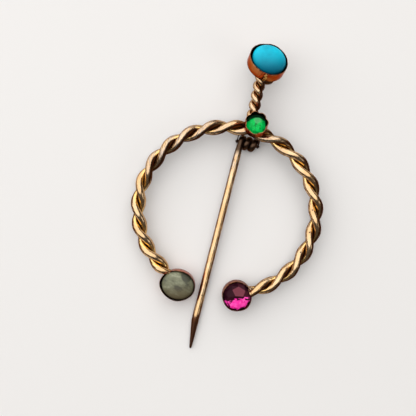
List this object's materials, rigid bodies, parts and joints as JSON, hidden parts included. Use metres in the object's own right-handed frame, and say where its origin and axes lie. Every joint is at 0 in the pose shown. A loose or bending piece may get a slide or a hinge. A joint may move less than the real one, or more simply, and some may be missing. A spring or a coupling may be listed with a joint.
{
  "type": "penannular brooch",
  "caption": "Penannular brooch: an open ring of twisted gilt wire with a stone at each end, a short stem with two more, and a long hinged pin that fastens cloth.",
  "frame": {"origin": "middle of the bounding box's bottom face, on the surface that the brooch lies on", "axes": "+Y from the ring's open end to the stem with the oval blue stone, +Z out of the brooch's face, +X to the right as seen from its face with the stem up"},
  "size_m": [0.0364, 0.0589, 0.0091],
  "materials": {
    "gold": "worn gilt, silver-grey on some crests and brown in the grooves",
    "dark_metal": "tarnished nearly black, dull",
    "turquoise": "polished, opaque blue",
    "green_glass": "clear emerald green, bubbled",
    "grey_stone": "polished, mottled grey-green",
    "purple_glass": "clear purple red, faceted"
  },
  "bodies": {
    "ring": {"twisted_frame": "gold", "hinge_rod": "dark_metal", "turquoise_cabochon": "turquoise", "green_paste": "green_glass", "grey_cabochon": "grey_stone", "purple_paste": "purple_glass"},
    "pin": {"brooch_pin": "gold"}
  },
  "joints": [
    {"name": "pin_swing", "type": "hinge", "parent": "ring", "child": "pin", "pos_m": [0.00043, 0.01154, 0.00139], "axis": [1, 0, 0], "range_deg": [-75, 175]}
  ]
}
